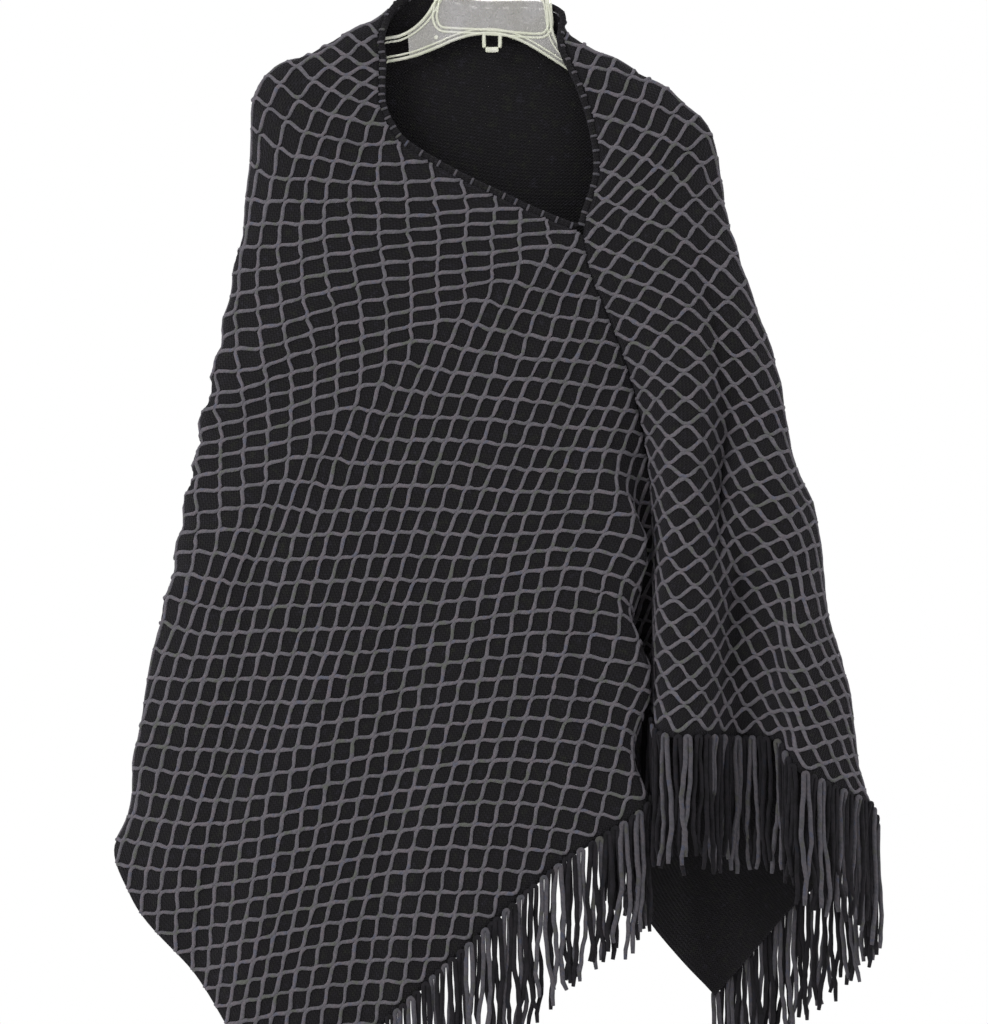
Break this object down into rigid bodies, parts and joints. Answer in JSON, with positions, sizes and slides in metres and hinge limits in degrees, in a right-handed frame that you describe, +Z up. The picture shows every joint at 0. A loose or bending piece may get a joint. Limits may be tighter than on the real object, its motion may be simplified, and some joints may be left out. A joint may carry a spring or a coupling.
{
  "type": "fringed cape on hanger",
  "caption": "Dark knitted cape with a raised net of grey yarn and a knotted fringe on two edges, hung from a clear hanger.",
  "frame": {"origin": "where the hanger's hook bears on the rail, at the inner top of the hook", "axes": "+Z up, the cape's front towards -Y, the wearer's left to +X"},
  "size_m": [0.7364, 0.1547, 1.2583],
  "materials": {
    "knit": "matte knit",
    "yarn": "soft spun yarn",
    "clear_plastic": "clear moulded",
    "hook_steel": "bright plated wire"
  },
  "bodies": {
    "root": {"front_lower": "knit", "front_upper": "knit", "back_upper": "knit", "back_lower": "knit", "neck_roll": "knit", "front_fringe": "yarn", "back_fringe": "yarn", "hanger_body": "clear_plastic", "hanger_hook": "hook_steel"}
  },
  "joints": []
}
